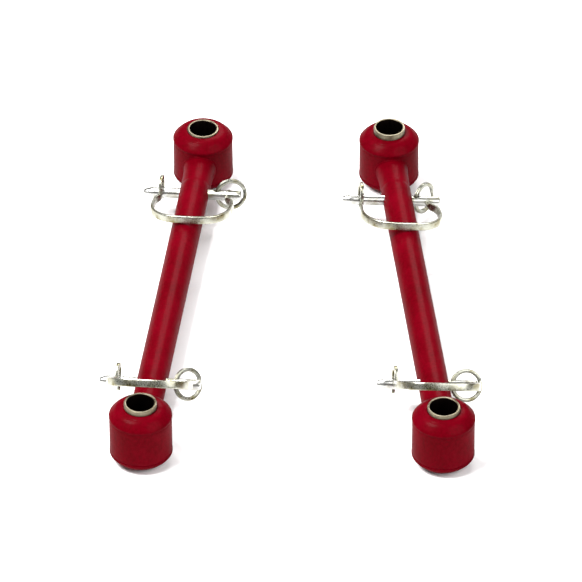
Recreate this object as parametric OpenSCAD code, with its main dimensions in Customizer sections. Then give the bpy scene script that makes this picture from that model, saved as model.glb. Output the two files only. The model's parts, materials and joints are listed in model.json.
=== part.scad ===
// Pair of quick-disconnect end links: two straight rods with bushed eyes and wire lock pins.
// Units: millimetres. X to the right, Y along the links (near end at -Y), Z up, floor at Z = 0.

/* [Links] */
// distance between the two eye centres of a link
link_len = 278; // [200:1:400]
// rod radius
rod_r = 9.0; // [6:0.1:14]
// height of the rod axis above the floor
axis_z = 18.5; // [15:0.5:30]
// left link: position of the link's middle, X
left_x = -70.38; // [-120:0.01:-40]
// left link: position of the link's middle, Y
left_y = 1.47; // [-20:0.01:20]
// left link: turn about Z, degrees
left_yaw = -6.81; // [-20:0.01:20]
// right link: position of the link's middle, X
right_x = 74.3; // [40:0.01:120]
// right link: position of the link's middle, Y
right_y = -1.19; // [-20:0.01:20]
// right link: turn about Z, degrees
right_yaw = 5.76; // [-20:0.01:20]

/* [Eyes] */
// outside radius of the steel barrel
eye_r = 18.2; // [14:0.1:24]
// length of the steel barrel
eye_h = 23.0; // [16:0.5:34]
// bore radius of the steel barrel
eye_bore = 14.0; // [11:0.1:18]
// neck radius where it leaves the barrel
neck_r = 10.8; // [10:0.1:16]
// distance from the eye centre to the end of the neck
neck_end = 37.0; // [28:0.5:45]
// radius of the rod's spigot inside the neck
spigot_r = 6.0; // [4:0.1:8]

/* [Bushings] */
// flange radius
flange_r = 18.4; // [15:0.1:25]
// height over both bushing halves
bush_h = 37.0; // [30:0.5:60]

/* [Sleeves] */
// outside radius of the sleeve
sleeve_r = 9.525; // [7:0.005:14]
// bore radius of the sleeve
sleeve_bore = 8.05; // [5:0.01:12]
// sleeve length
sleeve_h = 38.0; // [30:0.5:60]
// radial running clearance between bushing and sleeve
sleeve_gap = 0.05; // [0.01:0.01:0.1]
// how far each sleeve floats up: left near
lift_ln = 1.9; // [0:0.1:6]
// how far each sleeve floats up: left far
lift_lf = 0.0; // [0:0.1:6]
// how far each sleeve floats up: right near
lift_rn = 1.2; // [0:0.1:6]
// how far each sleeve floats up: right far
lift_rf = 2.6; // [0:0.1:6]

/* [Lock pins] */
// shank radius
pin_r = 3.175; // [2:0.005:5]
// shank length
pin_len = 60.0; // [40:0.5:80]
// radial clearance of the shank in the rod's cross hole
pin_gap = 0.06; // [0.01:0.01:0.1]
// distance of each pin from its eye centre: left near
at_ln = 46.8; // [40:0.1:60]
// distance of each pin from its eye centre: left far
at_lf = 42.0; // [40:0.1:60]
// distance of each pin from its eye centre: right near
at_rn = 47.5; // [40:0.1:60]
// distance of each pin from its eye centre: right far
at_rf = 46.5; // [40:0.1:60]
// distance from the rod axis to the pin's tip, left link
tip_l = 31.0; // [25:0.1:35]
// distance from the rod axis to the pin's tip, right link
tip_r = 34.0; // [25:0.1:35]
// roll of the left link's pins about the rod, degrees
roll_l = 1.7; // [-10:0.1:10]
// roll of the right link's pins about the rod, degrees
roll_r = -6.0; // [-10:0.1:10]

/* [Bails] */
// bail strip width
strip_w = 4.6; // [2:0.1:6]
// bail strip thickness
strip_t = 2.2; // [1:0.1:3]
// reach of the bail from the shank axis
bail_v = 45.0; // [35:0.5:60]
// tilt of each bail above the floor, degrees: left near
tilt_ln = 37.0; // [0:0.5:80]
// tilt of each bail above the floor, degrees: left far
tilt_lf = 15.5; // [0:0.5:80]
// tilt of each bail above the floor, degrees: right near
tilt_rn = 36.0; // [0:0.5:80]
// tilt of each bail above the floor, degrees: right far
tilt_rf = 15.5; // [0:0.5:80]

/* [Pull rings] */
// radius of the ring's centre line
ring_r = 8.6; // [7:0.1:16]
// wire radius
ring_wire = 1.2; // [0.8:0.1:2]
// swing of each ring away from its bail, degrees: left near
swing_ln = 40; // [0:1:85]
// swing of each ring away from its bail, degrees: left far
swing_lf = 15; // [0:1:85]
// swing of each ring away from its bail, degrees: right near
swing_rn = 5; // [0:1:85]
// swing of each ring away from its bail, degrees: right far
swing_rf = 45; // [0:1:85]

/* [Hidden] */
$fn = 72;
seam_lo = (bush_h - eye_h) / 2;
seam_hi = (bush_h + eye_h) / 2;
ring_u = 45.0;
hinge_u = 52.0;

// ---- placement: link frame has its origin at the link's middle, on the floor, Y along the rod
module left_link() translate([left_x, left_y, 0]) rotate([0, 0, left_yaw]) children();
module right_link() translate([right_x, right_y, 0]) rotate([0, 0, right_yaw]) children();
// an eye's own frame: the neck points to +Y
module near_end() translate([0, -link_len / 2, 0]) children();
module far_end() translate([0, link_len / 2, 0]) rotate([0, 0, 180]) children();
// pin frame: X from the tip to the head, -Y along the bail, Z normal to the bail
module pin_at(y, tip, roll, tilt)
  translate([0, y, axis_z]) rotate([0, -roll, 0]) translate([-tip, 0, 0]) rotate([-tilt, 0, 0]) children();
module pin_ln() left_link() pin_at(-link_len / 2 + at_ln, tip_l, roll_l, tilt_ln) children();
module pin_lf() left_link() pin_at(link_len / 2 - at_lf, tip_l, roll_l, tilt_lf) children();
module pin_rn() right_link() pin_at(-link_len / 2 + at_rn, tip_r, roll_r, tilt_rn) children();
module pin_rf() right_link() pin_at(link_len / 2 - at_rf, tip_r, roll_r, tilt_rf) children();

// ---- red parts
module rod(at_near, at_far, roll) {
  half = link_len / 2;
  color([0.50, 0.02, 0.09])
  difference() {
    union() {
      translate([0, half - neck_end, axis_z]) rotate([90, 0, 0]) cylinder(r = rod_r, h = link_len - 2 * neck_end);
      translate([0, half - neck_end + 14, axis_z]) rotate([90, 0, 0])
        cylinder(r = spigot_r, h = link_len - 2 * neck_end + 28);
    }
    for (y = [-half + at_near, half - at_far])
      translate([0, y, axis_z]) rotate([0, -roll, 0]) rotate([0, 90, 0])
        cylinder(r = pin_r + pin_gap, h = 4 * rod_r, center = true);
  }
}

function neck_pt(i, n) = let (y = 12 + (neck_end - 12) * i / n, k = (neck_end - y) / (neck_end - 12))
  [rod_r + (neck_r - rod_r) * k * k * k, y];
module eye() {
  color([0.50, 0.02, 0.09])
  difference() {
    union() {
      translate([0, 0, seam_lo]) cylinder(r = eye_r, h = eye_h);
      intersection() {
        translate([0, 0, axis_z]) rotate([-90, 0, 0])
          rotate_extrude() polygon(concat([[0, 12]], [for (i = [0:8]) neck_pt(i, 8)], [[0, neck_end]]));
        translate([-30, 0, seam_lo]) cube([60, 60, eye_h]);
      }
    }
    translate([0, 0, -1]) cylinder(r = eye_bore, h = bush_h + 2);
    translate([0, neck_end - 14.1, axis_z]) rotate([-90, 0, 0]) cylinder(r = spigot_r + 0.03, h = 30);
  }
}

// upper bushing half, seen in its own bore frame
module bushing_top() {
  color([0.55, 0.03, 0.10])
  rotate_extrude() polygon([
    [sleeve_r + sleeve_gap, bush_h / 2], [eye_bore, bush_h / 2], [eye_bore, seam_hi],
    [flange_r - 0.2, seam_hi], [flange_r, seam_hi + 0.3], [flange_r, bush_h - 6.2],
    [flange_r - 0.4, bush_h - 5.2], [flange_r - 1.1, bush_h - 4.2], [flange_r - 2.1, bush_h - 3.1],
    [flange_r - 3.3, bush_h - 2.1], [flange_r - 4.7, bush_h - 1.2], [flange_r - 6.3, bush_h - 0.45],
    [flange_r - 7.8, bush_h],
    [sleeve_r + sleeve_gap, bush_h]]);
}
module bushing_bottom() translate([0, 0, bush_h]) mirror([0, 0, 1]) bushing_top();

module sleeve(lift) {
  color([0.74, 0.72, 0.66])
  translate([0, 0, lift])
  rotate_extrude() polygon([
    [sleeve_bore, 0.3], [sleeve_bore + 0.3, 0], [sleeve_r - 0.4, 0], [sleeve_r, 0.4],
    [sleeve_r, sleeve_h - 0.4], [sleeve_r - 0.4, sleeve_h], [sleeve_bore + 0.3, sleeve_h],
    [sleeve_bore, sleeve_h - 0.3]]);
}

// ---- lock pin, in the pin frame
module shank() {
  color([0.80, 0.80, 0.78])
  difference() {
    rotate([0, 90, 0]) rotate_extrude() polygon([
      [0, 0], [1.9, 0], [pin_r, 4.5], [pin_r, pin_len - 0.8], [pin_r - 0.8, pin_len], [0, pin_len]]);
    translate([ring_u, 0, 0]) cylinder(r = 2.0, h = 10, center = true);
    translate([hinge_u, 0, 0]) rotate([90, 0, 0]) cylinder(r = 1.55, h = 10, center = true);
  }
}

// centre line of the strip in the plane of the bail: u along the shank, v away from it
BAIL = [[52.0, 7.4], [53.0, 9.6], [55.6, 13.0], [56.6, 16.8], [56.6, 30.0], [55.4, 35.2], [52.2, 40.2],
  [47.4, 43.6], [41.6, bail_v], [26.0, bail_v], [19.6, 43.8], [14.0, 40.4], [10.4, 35.4], [8.8, 30.0],
  [8.8, 16.5], [9.4, 12.2], [10.6, 8.6], [11.0, 5.2]];
function sub(a, b) = [a[0] - b[0], a[1] - b[1]];
function unit(a) = a / norm(a);
function side(p, i) =
  let (n = len(p), a = unit(sub(p[min(i + 1, n - 1)], p[min(i, n - 2)])), b = unit(sub(p[max(i, 1)], p[max(i - 1, 0)])),
       m = unit([a[0] + b[0], a[1] + b[1]]), c = m[0] * a[0] + m[1] * a[1])
  [-m[1] / c, m[0] / c];
function band(p, t) = concat([for (i = [0:len(p) - 1]) p[i] + side(p, i) * t / 2],
  [for (i = [len(p) - 1:-1:0]) p[i] - side(p, i) * t / 2]);

module bail() {
  color([0.70, 0.69, 0.60])
  union() {
    // hinge stub through the head, with its riveted end
    rotate([90, 0, 0]) translate([hinge_u, 0, -4.6]) cylinder(r = 1.5, h = 13.0);
    rotate([90, 0, 0]) translate([hinge_u, 0, -4.9]) cylinder(r = 2.2, h = 1.3);
    // strip
    mirror([0, 1, 0]) linear_extrude(height = strip_w, center = true) polygon(band(BAIL, strip_t));
    // hook: a flat saddle that drops over the shank near its tip
    translate([10.0, 0, 0]) rotate([90, 0, 90]) linear_extrude(height = 2.0)
      polygon([[-6.6, -1.7], [-4.0, -1.7], [-4.0, 5.2], [-2.8, 7.4], [0, 8.2], [2.8, 7.4], [4.0, 5.2],
        [4.0, -4.6], [4.6, -5.8], [6.4, -5.8], [6.4, 6.2], [4.9, 9.0], [2.6, 10.5], [0, 10.9], [-2.6, 10.5],
        [-4.9, 9.0], [-6.6, 6.2]]);
  }
}

module pull_ring(swing) {
  color([0.72, 0.71, 0.64])
  translate([ring_u, 0, 0]) rotate([0, 0, swing]) translate([ring_r, 0, 0]) rotate([90, 0, 0])
    rotate_extrude() translate([ring_r, 0]) circle(r = ring_wire, $fn = 32);
}

left_link() rod(at_ln, at_lf, roll_l);  // left_rod
left_link() near_end() eye();  // left_near_eye
left_link() far_end() eye();  // left_far_eye
left_link() near_end() bushing_top();  // left_near_bushing_top
left_link() near_end() bushing_bottom();  // left_near_bushing_bottom
left_link() far_end() bushing_top();  // left_far_bushing_top
left_link() far_end() bushing_bottom();  // left_far_bushing_bottom
left_link() near_end() sleeve(lift_ln);  // left_near_sleeve
left_link() far_end() sleeve(lift_lf);  // left_far_sleeve
pin_ln() shank();  // left_near_pin
pin_ln() bail();  // left_near_bail
pin_ln() pull_ring(swing_ln);  // left_near_ring
pin_lf() shank();  // left_far_pin
pin_lf() bail();  // left_far_bail
pin_lf() pull_ring(swing_lf);  // left_far_ring
right_link() rod(at_rn, at_rf, roll_r);  // right_rod
right_link() near_end() eye();  // right_near_eye
right_link() far_end() eye();  // right_far_eye
right_link() near_end() bushing_top();  // right_near_bushing_top
right_link() near_end() bushing_bottom();  // right_near_bushing_bottom
right_link() far_end() bushing_top();  // right_far_bushing_top
right_link() far_end() bushing_bottom();  // right_far_bushing_bottom
right_link() near_end() sleeve(lift_rn);  // right_near_sleeve
right_link() far_end() sleeve(lift_rf);  // right_far_sleeve
pin_rn() shank();  // right_near_pin
pin_rn() bail();  // right_near_bail
pin_rn() pull_ring(swing_rn);  // right_near_ring
pin_rf() shank();  // right_far_pin
pin_rf() bail();  // right_far_bail
pin_rf() pull_ring(swing_rf);  // right_far_ring
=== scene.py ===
import json
import math

import bmesh
import bpy
from mathutils import Matrix, Vector


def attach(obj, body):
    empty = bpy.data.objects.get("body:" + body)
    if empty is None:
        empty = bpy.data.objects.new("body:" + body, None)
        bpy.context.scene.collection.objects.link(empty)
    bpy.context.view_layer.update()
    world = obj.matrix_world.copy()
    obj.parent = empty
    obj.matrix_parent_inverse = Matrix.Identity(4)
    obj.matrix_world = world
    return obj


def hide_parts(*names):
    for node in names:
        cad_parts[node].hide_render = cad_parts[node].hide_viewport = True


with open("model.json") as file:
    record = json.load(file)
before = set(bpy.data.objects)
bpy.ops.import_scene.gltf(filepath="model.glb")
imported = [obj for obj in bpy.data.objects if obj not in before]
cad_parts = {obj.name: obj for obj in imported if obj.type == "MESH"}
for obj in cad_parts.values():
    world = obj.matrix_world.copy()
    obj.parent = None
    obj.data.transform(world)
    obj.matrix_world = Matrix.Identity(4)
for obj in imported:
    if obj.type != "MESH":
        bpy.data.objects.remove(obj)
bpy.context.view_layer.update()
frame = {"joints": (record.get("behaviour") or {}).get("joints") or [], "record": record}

record = frame["record"]
joints = {j["name"]: j for j in frame["joints"]}
mounts = {m["name"]: m for m in record["mounts"]}
scene = bpy.context.scene
MM = 0.001

# ---- sizes, in millimetres
AXIS_Z = 18.5
ROD_R, ROD_END = 9.0, 102.0
CROSS_HOLE_R = 3.3
NECK_END, NECK_LENGTH, NECK_FLARE = 37.0, 25.0, 1.8
NECK_ROOT_R = 15.8  # where the neck starts, inside the barrel's wall
EYE_R, EYE_BORE, EYE_LO, EYE_HI = 18.2, 14.0, 7.0, 30.0
FLANGE_R, BUSH_H, BUSH_BORE = 18.4, 37.0, 9.575
SLEEVE_R, SLEEVE_BORE, SLEEVE_H = 9.525, 8.05, 38.0
PIN_R, PIN_LEN, RING_U, HINGE_U = 3.175, 60.0, 45.0, 52.0
RING_HOLE_R, HINGE_HOLE_R = 2.0, 1.55
STRIP_W, STRIP_T = 4.6, 2.2
STRIP_END_HALF = 1.5  # half size of the strip's round end, in the head
RING_R = 8.6
RING_HALF_T, RING_HALF_W = 1.18, 0.57  # half sizes of one turn's wire


# ---- placement
def frame_of(x, y, z, origin):
    """4x4 with these axes and this origin."""
    m = Matrix.Identity(4)
    for i in range(3):
        m[i][0], m[i][1], m[i][2], m[i][3] = x[i], y[i], z[i], origin[i]
    return m


def link_frame(side):
    """Origin at the link's middle on the floor, Y along the rod to the far eye."""
    near = Vector(mounts[side + "_near_bore"]["pos_m"])
    far = Vector(mounts[side + "_far_bore"]["pos_m"])
    y = Vector((far.x - near.x, far.y - near.y, 0)).normalized()
    mid = (near + far) / 2
    return frame_of(Vector((y.y, -y.x, 0)), y, Vector((0, 0, 1)), Vector((mid.x, mid.y, 0)))


def eye_frame(side, end):
    """Origin on the bore axis at the floor, Y along the neck."""
    p = mounts[f"{side}_{end}_bore"]["pos_m"]
    m = link_frame(side)
    y = m.col[1].xyz * (1 if end == "near" else -1)
    return frame_of(Vector((y.y, -y.x, 0)), y, Vector((0, 0, 1)), Vector((p[0], p[1], 0)))


def pin_frame(side, end):
    """Origin at the tip, X to the head, -Y along the bail, Z its normal."""
    x = Vector(joints[f"{side}_{end}_pin_pull"]["axis"])
    y = Vector(joints[f"{side}_{end}_bail_open"]["axis"])
    z = Vector(joints[f"{side}_{end}_ring_swing"]["axis"])
    hinge = Vector(joints[f"{side}_{end}_bail_open"]["pos_m"])
    return frame_of(x, y, z, hinge - x * HINGE_U * MM)


# ---- mesh helpers, all in millimetres
def new_object(name, verts, faces, matrix, material):
    me = bpy.data.meshes.new(name)
    me.from_pydata([[c * MM for c in v] for v in verts], [], faces)
    bm = bmesh.new()
    bm.from_mesh(me)
    bmesh.ops.remove_doubles(bm, verts=bm.verts, dist=1e-6)
    bmesh.ops.recalc_face_normals(bm, faces=bm.faces)
    bm.to_mesh(me)
    bm.free()
    ob = bpy.data.objects.new(name, me)
    ob.matrix_world = matrix
    scene.collection.objects.link(ob)
    me.materials.append(material)
    return ob


def soften(ob, angle=35):
    ob.data.shade_smooth()
    ob.data.set_sharp_from_angle(angle=math.radians(angle))


def bake_modifiers(ob):
    bpy.context.view_layer.update()
    graph = bpy.context.evaluated_depsgraph_get()
    me = bpy.data.meshes.new_from_object(ob.evaluated_get(graph))
    ob.modifiers.clear()
    ob.data = me


def grid_faces(rows, cols, close_rows, close_cols):
    out = []
    for i in range(rows if close_rows else rows - 1):
        for j in range(cols if close_cols else cols - 1):
            a, b = i * cols + j, i * cols + (j + 1) % cols
            c, d = ((i + 1) % rows) * cols + (j + 1) % cols, ((i + 1) % rows) * cols + j
            out.append((a, b, c, d))
    return out


def lathe(profile, n, closed=True):
    """Turns (r, z) points about Z."""
    verts = []
    for r, z in profile:
        for j in range(n):
            a = 2 * math.pi * j / n
            verts.append((r * math.cos(a), r * math.sin(a), z))
    return verts, grid_faces(len(profile), n, closed, True)


def cylinder(radius, lo, hi, n):
    """A solid cylinder about Z, from lo to hi."""
    return lathe([(0, lo), (radius, lo), (radius, hi), (0, hi)], n, closed=False)


def turn_to(verts, axis):
    """Lays a lathe's Z along X or Y."""
    if axis == "x":
        return [(z, x, y) for x, y, z in verts]
    return [(y, z, x) for x, y, z in verts]


def clamp(value):
    return min(max(value, 0.0), 1.0)


def smoothstep(value):
    k = clamp(value)
    return k * k * (3 - 2 * k)


def merge(*meshes):
    verts, faces = [], []
    for v, f in meshes:
        k = len(verts)
        verts += v
        faces += [tuple(i + k for i in face) for face in f]
    return verts, faces


def round_corner(points, radii, steps):
    """Rounds each corner of an open polyline with a quadratic arc that starts radius away."""
    out = [points[0]]
    for p, q, r, rad in zip(points, points[1:], points[2:], radii):
        p, q, r = Vector(p), Vector(q), Vector(r)
        a = q + (p - q).normalized() * min(rad, (p - q).length * 0.49)
        b = q + (r - q).normalized() * min(rad, (r - q).length * 0.49)
        for i in range(steps + 1):
            t = i / steps
            out.append(tuple(a * (1 - t) ** 2 + q * 2 * t * (1 - t) + b * t * t))
    out.append(points[-1])
    return out


def cut(ob, *cutters, bevel):
    """Subtracts the cutters from ob, then bevels its sharp edges by bevel mm."""
    for c in cutters:
        m = ob.modifiers.new("cut", "BOOLEAN")
        m.operation, m.solver, m.object = "DIFFERENCE", "EXACT", c
    b = ob.modifiers.new("edge", "BEVEL")
    b.width, b.segments, b.limit_method = bevel * MM, 2, "ANGLE"
    b.angle_limit = math.radians(40)
    b.use_clamp_overlap = True
    bake_modifiers(ob)
    for c in cutters:
        bpy.data.objects.remove(c)
    soften(ob)


# ---- materials
def nodes_of(name):
    mat = bpy.data.materials.new(name)
    mat.use_nodes = True
    nt = mat.node_tree
    return mat, nt, nt.nodes["Principled BSDF"]


def add(nt, kind, **values):
    n = nt.nodes.new(kind)
    for k, v in values.items():
        if k in n.inputs.keys():
            n.inputs[k].default_value = v
        else:
            setattr(n, k, v)
    return n


def noise(nt, coords, scale, detail, rough=0.55, stretch=(1, 1, 1)):
    m = add(nt, "ShaderNodeMapping")
    m.inputs["Scale"].default_value = stretch
    nt.links.new(coords.outputs["Object"], m.inputs["Vector"])
    n = add(nt, "ShaderNodeTexNoise", Scale=scale, Detail=detail, Roughness=rough)
    nt.links.new(m.outputs["Vector"], n.inputs["Vector"])
    return n


def ramp(nt, source, stops):
    """A colour ramp on source, with stops of (position, (r, g, b))."""
    r = add(nt, "ShaderNodeValToRGB")
    e = r.color_ramp.elements
    while len(e) < len(stops):
        e.new(0.5)
    for el, (pos, col) in zip(e, stops):
        el.position, el.color = pos, (*col, 1)
    nt.links.new(source, r.inputs["Fac"])
    return r


def grey(v):
    return (v, v, v)


def bump(nt, bsdf, heights):
    """Chains one bump node for each (socket, distance in mm)."""
    last = None
    for socket, mm in heights:
        b = add(nt, "ShaderNodeBump", Strength=1.0, Distance=mm * MM)
        nt.links.new(socket, b.inputs["Height"])
        if last:
            nt.links.new(last.outputs["Normal"], b.inputs["Normal"])
        last = b
    nt.links.new(last.outputs["Normal"], bsdf.inputs["Normal"])


def coated_red(name, dark, light, peel_mm):
    """Red with soft clouds and an orange-peel surface."""
    roughness = 0.42
    mat, nt, bsdf = nodes_of(name)
    tc = add(nt, "ShaderNodeTexCoord")
    cloud = noise(nt, tc, 45.0, 3.0)
    grain = noise(nt, tc, 520.0, 3.0, 0.6)
    peel = noise(nt, tc, 900.0, 2.0, 0.5)
    mixed = add(nt, "ShaderNodeMix", data_type="FLOAT")
    mixed.inputs["Factor"].default_value = 0.45
    nt.links.new(cloud.outputs["Fac"], mixed.inputs["A"])
    nt.links.new(grain.outputs["Fac"], mixed.inputs["B"])
    middle = [(a + b) / 2 for a, b in zip(dark, light)]
    col = ramp(nt, mixed.outputs["Result"], [(0.36, dark), (0.50, middle), (0.64, light)])
    nt.links.new(col.outputs["Color"], bsdf.inputs["Base Color"])
    gloss = [(0.3, grey(roughness - 0.06)), (0.7, grey(roughness + 0.08))]
    rr = ramp(nt, cloud.outputs["Fac"], gloss)
    nt.links.new(rr.outputs["Color"], bsdf.inputs["Roughness"])
    bsdf.inputs["Specular IOR Level"].default_value = 0.008
    bsdf.inputs["Coat Weight"].default_value = 0.015
    bsdf.inputs["Coat Roughness"].default_value = 0.18
    bump(nt, bsdf, [(peel.outputs["Fac"], peel_mm), (cloud.outputs["Fac"], peel_mm * 2)])
    return mat


# how the fine drawing lines are stretched
ALONG_X, ALONG_Z, NO_GRAIN = (0.08, 1, 1), (1, 1, 0.08), (1, 1, 1)


def zinc(name, pale, warm, rough, grain):
    """Zinc plate: pale and warm patches over fine lines. Also returns what a caller needs to add to it."""
    mat, nt, bsdf = nodes_of(name)
    tc = add(nt, "ShaderNodeTexCoord")
    cloud = noise(nt, tc, 120.0, 4.0)
    lines = noise(nt, tc, 1500.0, 2.0, 0.6, grain)
    col = ramp(nt, cloud.outputs["Fac"], [(0.35, warm), (0.55, pale)])
    nt.links.new(col.outputs["Color"], bsdf.inputs["Base Color"])
    rr = ramp(nt, lines.outputs["Fac"], [(0.3, grey(rough - 0.07)), (0.7, grey(rough + 0.12))])
    nt.links.new(rr.outputs["Color"], bsdf.inputs["Roughness"])
    bsdf.inputs["Metallic"].default_value = 1.0
    bump(nt, bsdf, [(lines.outputs["Fac"], 0.02), (cloud.outputs["Fac"], 0.03)])
    return mat, nt, bsdf, col


def sleeve_with_painted_bore_shade():
    """Zinc whose bore wall is painted near-black as painted shade inside the deep hole: near the bore's radius
    the zinc colour gives way to it.
    """
    mat, nt, bsdf, col = zinc("sleeve_zinc", (0.17, 0.15, 0.105), (0.11, 0.09, 0.055), 0.36, ALONG_Z)
    tc = add(nt, "ShaderNodeTexCoord")
    flat = add(nt, "ShaderNodeVectorMath", operation="MULTIPLY")
    flat.inputs[1].default_value = (1000, 1000, 0)
    length = add(nt, "ShaderNodeVectorMath", operation="LENGTH")
    bore_shade_mask = add(nt, "ShaderNodeMapRange")
    bore_shade_mask.inputs["From Min"].default_value = SLEEVE_BORE + 0.08
    bore_shade_mask.inputs["From Max"].default_value = SLEEVE_BORE + 0.3
    bore_shade_mask.inputs["To Min"].default_value = 1.0
    bore_shade_mask.inputs["To Max"].default_value = 0.0
    # painted shade: the bore wall is coloured near-black, standing in for the shade inside the hole
    mix = add(nt, "ShaderNodeMix", data_type="RGBA")
    mix.inputs["B"].default_value = (0.02, 0.012, 0.01, 1)
    nt.links.new(tc.outputs["Object"], flat.inputs[0])
    nt.links.new(flat.outputs["Vector"], length.inputs[0])
    nt.links.new(length.outputs["Value"], bore_shade_mask.inputs["Value"])
    nt.links.new(bore_shade_mask.outputs["Result"], mix.inputs["Factor"])
    nt.links.new(col.outputs["Color"], mix.inputs["A"])
    nt.links.new(mix.outputs["Result"], bsdf.inputs["Base Color"])
    return mat


RED = coated_red("powder_coat_red", (0.070, 0.0, 0.0018), (0.114, 0.0, 0.0042), 0.05)
POLY = coated_red("polyurethane_red", (0.074, 0.0, 0.0020), (0.112, 0.0, 0.0044), 0.03)
PIN, *_ = zinc("bright_zinc", (0.46, 0.46, 0.44), (0.30, 0.29, 0.22), 0.28, ALONG_X)
BAIL_MAT, *_ = zinc("spring_zinc", (0.38, 0.38, 0.32), (0.17, 0.15, 0.075), 0.27, NO_GRAIN)
RING_MAT, *_ = zinc("ring_zinc", (0.28, 0.28, 0.24), (0.15, 0.135, 0.07), 0.27, NO_GRAIN)
SLEEVE = sleeve_with_painted_bore_shade()


# ---- shapes
def rod(side):
    steps = 50
    prof = [(0, -ROD_END)]
    for i in range(steps + 1):
        prof.append((ROD_R, -ROD_END + 2 * ROD_END * i / steps))
    prof.append((0, ROD_END))
    v, f = lathe(prof, 96, closed=False)
    v = [(x, y, z + AXIS_Z) for x, y, z in turn_to(v, "y")]
    ob = new_object(side + "_rod_body", v, f, link_frame(side), RED)
    cutters = []
    for end in ("near", "far"):
        cv, cf = cylinder(CROSS_HOLE_R, 5, 55, 48)
        cutters.append(new_object("cutter", turn_to(cv, "x"), cf, pin_frame(side, end), RED))
    cut(ob, *cutters, bevel=0.35)
    return ob


def neck_point(phi, y, shrink=1.0):
    """The neck's (x, z) at y, about the rod's axis. It widens towards the barrel."""
    k = clamp((NECK_END - y) / NECK_LENGTH)
    r = (ROD_R + NECK_FLARE * k ** 3) * shrink
    return r * math.cos(phi), r * math.sin(phi)


def neck_start(phi, base):
    """Where the neck's line at phi meets a cylinder of radius base about the bore."""
    y = base
    for _ in range(30):
        x, _z = neck_point(phi, y)
        y = 0.5 * y + 0.5 * math.sqrt(max(base * base - x * x, 1.0))
    return y


def barrel_mesh():
    """The eye's ring, with small rounded edges."""
    edge, mid_edge, bands = 0.3, 0.08, 12
    height = EYE_HI - EYE_LO - 2 * edge
    low = [(EYE_BORE, EYE_LO), (EYE_R - edge, EYE_LO),
           (EYE_R - mid_edge, EYE_LO + mid_edge), (EYE_R, EYE_LO + edge)]
    side = [(EYE_R, EYE_LO + edge + height * i / bands) for i in range(1, bands)]
    high = [(EYE_R, EYE_HI - edge), (EYE_R - mid_edge, EYE_HI - mid_edge),
            (EYE_R - edge, EYE_HI), (EYE_BORE, EYE_HI)]
    return lathe(low + side + high, 128)


def neck_mesh():
    """A closed root inside the barrel, the flared side, and a flat end on the rod."""
    around, steps = 96, 26
    angles = [2 * math.pi * j / around for j in range(around)]
    verts = []
    for shrink in (0.0, 0.3, 0.6, 0.85):
        for phi in angles:
            x, z = neck_point(phi, neck_start(phi, NECK_ROOT_R), shrink)
            verts.append((x, math.sqrt(NECK_ROOT_R * NECK_ROOT_R - x * x), z + AXIS_Z))
    for i in range(steps + 1):
        for phi in angles:
            y0 = neck_start(phi, NECK_ROOT_R)
            y = y0 + (NECK_END - y0) * i / steps
            x, z = neck_point(phi, y)
            verts.append((x, y, z + AXIS_Z))
    for r in (ROD_R * 0.6, 0.0):
        verts += [(r * math.cos(phi), NECK_END, r * math.sin(phi) + AXIS_Z) for phi in angles]
    return verts, grid_faces(len(verts) // around, around, False, True)


def bead_mesh():
    """A rippled weld bead along the line where the neck meets the barrel."""
    count, around, ripples = 220, 10, 44
    path = []
    for j in range(count):
        phi = 2 * math.pi * j / count
        y = neck_start(phi, EYE_R)
        x, z = neck_point(phi, y)
        path.append(Vector((x, y, z + AXIS_Z)))
    verts = []
    for j, p in enumerate(path):
        t = (path[(j + 1) % count] - path[j - 1]).normalized()
        out = Vector((p.x, p.y, 0)).normalized()
        a = (out - t * out.dot(t)).normalized()
        b = t.cross(a)
        radius = 0.50 + 0.05 * abs(math.sin(math.pi * j / count * ripples))
        for k in range(around):
            w = 2 * math.pi * k / around
            verts.append(tuple(p + (a * math.cos(w) + b * math.sin(w)) * radius))
    return verts, grid_faces(count, around, True, True)


def bushing_profile():
    """Upper half: a plug in the barrel, then a flange with a domed shoulder."""
    plug = [(BUSH_BORE, BUSH_H / 2 + 0.05), (EYE_BORE - 0.02, BUSH_H / 2 + 0.05), (EYE_BORE, EYE_HI)]
    rim = [(FLANGE_R - 0.25, EYE_HI), (FLANGE_R - 0.06, EYE_HI + 0.07), (FLANGE_R, EYE_HI + 0.25)]
    corners = [(FLANGE_R, EYE_HI + 0.6), (FLANGE_R, BUSH_H - 5.3),
               (FLANGE_R - 4.4, BUSH_H - 0.9), (FLANGE_R - 8.2, BUSH_H)]
    dome = round_corner(corners, [2.6, 2.2], steps=9)
    crown = [(9.9, BUSH_H - 0.02), (9.68, BUSH_H - 0.08), (BUSH_BORE, BUSH_H - 0.3)]
    return plug + rim + dome + crown


def sleeve_mesh():
    """A tube with rounded ends."""
    lower = [(SLEEVE_BORE, 0.35), (SLEEVE_BORE + 0.12, 0.12), (SLEEVE_BORE + 0.35, 0), (SLEEVE_R - 0.35, 0),
             (SLEEVE_R - 0.1, 0.1), (SLEEVE_R, 0.35)]
    upper = [(r, SLEEVE_H - z) for r, z in reversed(lower)]
    return lathe(lower + [(SLEEVE_R, 12), (SLEEVE_R, 29)] + upper + [(SLEEVE_BORE, 29), (SLEEVE_BORE, 12)], 96)


def shank_mesh():
    """A pointed tip, a plain shank and a rounded head end."""
    prof = [(0, 0), (1.2, 0.02), (1.65, 0.2), (1.95, 0.6), (2.35, 1.8), (2.8, 3.4), (3.05, 4.4), (PIN_R, 5.4)]
    prof += [(PIN_R, 5.4 + (PIN_LEN - 6.6) * i / 24) for i in range(1, 25)]
    prof += [(3.05, PIN_LEN - 0.7), (2.75, PIN_LEN - 0.3), (2.2, PIN_LEN - 0.06), (1.0, PIN_LEN), (0, PIN_LEN)]
    v, f = lathe(prof, 64, closed=False)
    return turn_to(v, "x"), f


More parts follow.
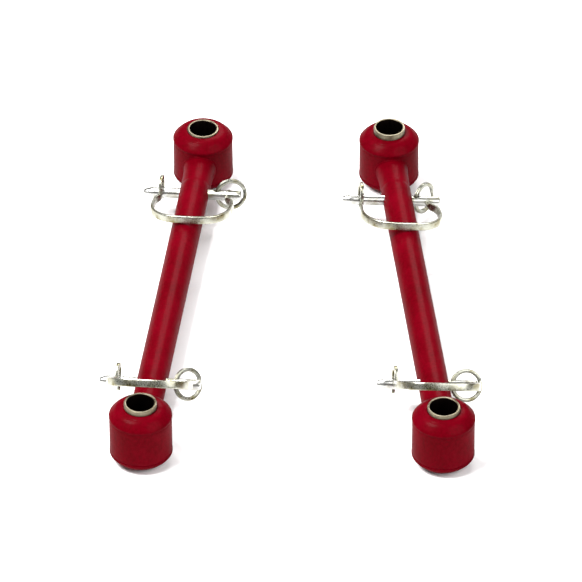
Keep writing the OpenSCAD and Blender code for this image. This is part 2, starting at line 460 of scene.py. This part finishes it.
def shank(name, matrix):
    ob = new_object(name, *shank_mesh(), matrix, PIN)
    ring_place = matrix @ Matrix.Translation((RING_U * MM, 0, 0))
    ring = new_object("cutter", *cylinder(RING_HOLE_R, -6, 6, 40), ring_place, PIN)
    v, f = cylinder(HINGE_HOLE_R, -6, 6, 40)
    hinge_place = matrix @ Matrix.Translation((HINGE_U * MM, 0, 0))
    hinge = new_object("cutter", turn_to(v, "y"), f, hinge_place, PIN)
    cut(ob, ring, hinge, bevel=0.22)
    return ob


def section(half_t, half_w, power, n):
    """A superellipse of these half sizes."""
    def along(half, c):
        return half * math.copysign(abs(c) ** (2 / power), c)

    angles = [2 * math.pi * (k + 0.5) / n for k in range(n)]
    return [(along(half_t, math.cos(a)), along(half_w, math.sin(a))) for a in angles]


# the strip's middle line: u along the shank, v away from it
CORNERS = [(52.0, -4.4), (52.0, 8.6), (56.6, 14.6), (56.6, 33.0), (47.6, 45.0), (19.0, 45.0), (8.8, 33.4),
           (8.8, 13.4), (11.0, 8.2), (11.0, 5.0)]


def bail_mesh():
    """The strip, round where it is riveted into the head and flat along the rest."""
    around, round_length, blend_length = 20, 10.8, 4.5
    path = round_corner(CORNERS, [3.6, 4.0, 9.0, 11.0, 11.0, 9.0, 4.0, 2.0], steps=8)
    dense = [path[0]]
    for a, b in zip(path, path[1:]):
        a, b = Vector(a), Vector(b)
        n = max(1, int((b - a).length / 1.5))
        dense += [tuple(a + (b - a) * (i + 1) / n) for i in range(n)]
    verts, s = [], 0.0
    for i, p in enumerate(dense):
        q0, q1 = Vector(dense[max(i - 1, 0)]), Vector(dense[min(i + 1, len(dense) - 1)])
        if i:
            s += (Vector(p) - Vector(dense[i - 1])).length
        d = (q1 - q0).normalized()
        side = Vector((d.y, -d.x))
        k = smoothstep((s - round_length) / blend_length)
        half_t = STRIP_END_HALF + (STRIP_T / 2 - STRIP_END_HALF) * k
        half_w = STRIP_END_HALF + (STRIP_W / 2 - STRIP_END_HALF) * k
        for a, w in section(half_t, half_w, 2 + 4 * k, around):
            verts.append((p[0] + side.x * a, -(p[1] + side.y * a), w))
    faces = grid_faces(len(dense), around, False, True)
    faces += [tuple(range(around)), tuple(reversed(range(len(verts) - around, len(verts))))]
    rivet_line = [(0, -4.9), (1.3, -4.85), (1.9, -4.6), (2.2, -4.2), (2.2, -3.65), (0, -3.65)]
    v, f = lathe(rivet_line, 32, closed=False)
    rivet = ([(x + HINGE_U, -y, z) for x, y, z in turn_to(v, "y")], f)
    return merge((verts, faces), rivet)


# the hook's outline across the shank, which it straddles
SADDLE = [(-6.4, -1.6), (-4.0, -1.6), (-4.0, 5.0), (-3.5, 6.5), (-2.3, 7.6), (0, 8.2), (2.3, 7.6), (3.5, 6.5),
          (4.0, 5.0), (4.0, -4.6), (4.5, -5.6), (5.4, -5.8), (6.2, -5.4), (6.4, -4.6), (6.4, 5.6), (5.9, 7.6),
          (4.6, 9.4), (2.6, 10.5), (0, 10.9), (-2.6, 10.5), (-4.6, 9.4), (-5.9, 7.6), (-6.4, 5.6)]


def hook_mesh():
    """The saddle outline, extruded along the shank."""
    n = len(SADDLE)
    verts = [(u, y, w) for u in (10.0, 12.0) for y, w in SADDLE]
    ends = [tuple(range(n)), tuple(reversed(range(n, 2 * n)))]
    return verts, ends + [(i, (i + 1) % n, n + (i + 1) % n, n + i) for i in range(n)]


def bail(name, matrix):
    """The strip and its hook, joined into one mesh."""
    ob = new_object(name, *bail_mesh(), matrix, BAIL_MAT)
    hook = new_object(name + "_hook", *hook_mesh(), matrix, BAIL_MAT)
    b = hook.modifiers.new("edge", "BEVEL")
    b.width, b.segments, b.limit_method, b.angle_limit = 0.35 * MM, 3, "ANGLE", math.radians(50)
    bake_modifiers(hook)
    bm = bmesh.new()
    bm.from_mesh(ob.data)
    bm.from_mesh(hook.data)
    bm.to_mesh(ob.data)
    bm.free()
    bpy.data.objects.remove(hook)
    soften(ob, 32)
    return ob


def ring_mesh():
    """A split ring: two turns of flattened wire side by side, crossing over once."""
    cross, lift_of_turn = 0.34, 0.58
    steps, n = 300, 14
    verts = []
    for i in range(steps + 1):
        t = cross + (4 * math.pi - 2 * cross) * i / steps
        k = smoothstep((t - (2 * math.pi - cross)) / (2 * cross))
        lift = -lift_of_turn + 2 * lift_of_turn * k
        end = min(1.0, min(i, steps - i) / 5.0)
        half_t, half_w = RING_HALF_T * (0.75 + 0.25 * end), RING_HALF_W * (0.6 + 0.4 * end)
        for a, w in section(half_t, half_w, 3.2, n):
            r = RING_R + a
            verts.append((RING_R + r * math.cos(t), lift + w, r * math.sin(t)))
    faces = grid_faces(steps + 1, n, False, True)
    faces += [tuple(range(n)), tuple(reversed(range(len(verts) - n, len(verts))))]
    return verts, faces


# ---- pieces
def swing_of(side, end):
    """The ring's angle at rest, from the shank's line away from the bail; its range starts at -5 degrees."""
    return -math.radians(joints[f"{side}_{end}_ring_swing"]["range_deg"][0] + 5)


eye = merge(barrel_mesh(), neck_mesh(), bead_mesh())
bush = lathe(bushing_profile(), 112)
for side in ("left", "right"):
    link = side + "_link"
    piece = rod(side)
    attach(piece, link)
    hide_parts(side + "_rod")
    for end in ("near", "far"):
        key = f"{side}_{end}"
        here = eye_frame(side, end)
        piece = new_object(key + "_eye_body", *eye, here, RED)
        soften(piece, 38)
        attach(piece, link)
        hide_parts(key + "_eye")
        for half in ("top", "bottom"):
            place = here
            if half == "bottom":
                place = here @ Matrix.Translation((0, 0, BUSH_H * MM)) @ Matrix.Rotation(math.pi, 4, "X")
            piece = new_object(f"{key}_bushing_{half}_body", *bush, place, POLY)
            soften(piece, 40)
            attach(piece, link)
            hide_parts(f"{key}_bushing_{half}")
        lift = mounts[key + "_bore"]["pos_m"][2] / MM - SLEEVE_H / 2
        place = here @ Matrix.Translation((0, 0, lift * MM))
        piece = new_object(key + "_sleeve_tube", *sleeve_mesh(), place, SLEEVE)
        soften(piece, 40)
        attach(piece, key + "_sleeve")
        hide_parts(key + "_sleeve")
        here = pin_frame(side, end)
        piece = shank(key + "_pin_shank", here)
        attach(piece, key + "_pin")
        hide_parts(key + "_pin")
        piece = bail(key + "_bail_strip", here)
        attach(piece, key + "_bail")
        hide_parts(key + "_bail")
        turn = Matrix.Translation((RING_U * MM, 0, 0)) @ Matrix.Rotation(swing_of(side, end), 4, "Z")
        piece = new_object(key + "_split_ring", *ring_mesh(), here @ turn, RING_MAT)
        soften(piece, 40)
        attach(piece, key + "_ring")
        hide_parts(key + "_ring")

# ---- floor, light, camera
mat, nt, bsdf = nodes_of("floor_white")
bsdf.inputs["Base Color"].default_value = (0.9, 0.9, 0.9, 1)
bsdf.inputs["Roughness"].default_value = 0.9
bsdf.inputs["Specular IOR Level"].default_value = 0.0
floor = bpy.data.meshes.new("floor")
floor.from_pydata([(-4, -4, 0), (4, -4, 0), (4, 4, 0), (-4, 4, 0)], [], [(0, 1, 2, 3)])
floor_ob = bpy.data.objects.new("floor", floor)
floor.materials.append(mat)
scene.collection.objects.link(floor_ob)


def area_light(name, size, power, position):
    """A round white light aimed at the middle of the pair."""
    data = bpy.data.lights.new(name, "AREA")
    data.shape, data.size, data.energy = "DISK", size, power
    ob = bpy.data.objects.new(name, data)
    ob.location = position
    ob.rotation_mode = "QUATERNION"
    ob.rotation_quaternion = (Vector((0, 0, 0.02)) - Vector(position)).to_track_quat("-Z", "Y")
    scene.collection.objects.link(ob)


area_light("key", 1.0, 78.0, (-0.9, -0.3, 1.7))
area_light("fill", 1.6, 30.0, (1.2, -0.9, 1.3))
area_light("back", 0.9, 26.0, (0.3, 1.5, 1.2))
area_light("glint", 0.12, 10.0, (-0.35, 0.55, 1.8))
world = bpy.data.worlds.new("studio")
world.use_nodes = True
world.node_tree.nodes["Background"].inputs["Color"].default_value = (1, 1, 1, 1)
world.node_tree.nodes["Background"].inputs["Strength"].default_value = 0.25
scene.world = world
scene.view_settings.view_transform = "Standard"

FOCUS = Vector((0.00012, -0.0042, 0.021))
ELEVATION, DISTANCE, LENS = math.radians(36.904), 3.635, 377.2
cam = bpy.data.cameras.new("camera")
cam.lens, cam.sensor_width = LENS, 36.0
cam.clip_start, cam.clip_end = 0.05, 60.0
cam_ob = bpy.data.objects.new("camera", cam)
cam_ob.rotation_mode = "QUATERNION"
back = Vector((0, -math.cos(ELEVATION), math.sin(ELEVATION)))
cam_ob.location = FOCUS + back * DISTANCE
cam_ob.rotation_quaternion = (-back).to_track_quat("-Z", "Y")
scene.collection.objects.link(cam_ob)
scene.camera = cam_ob
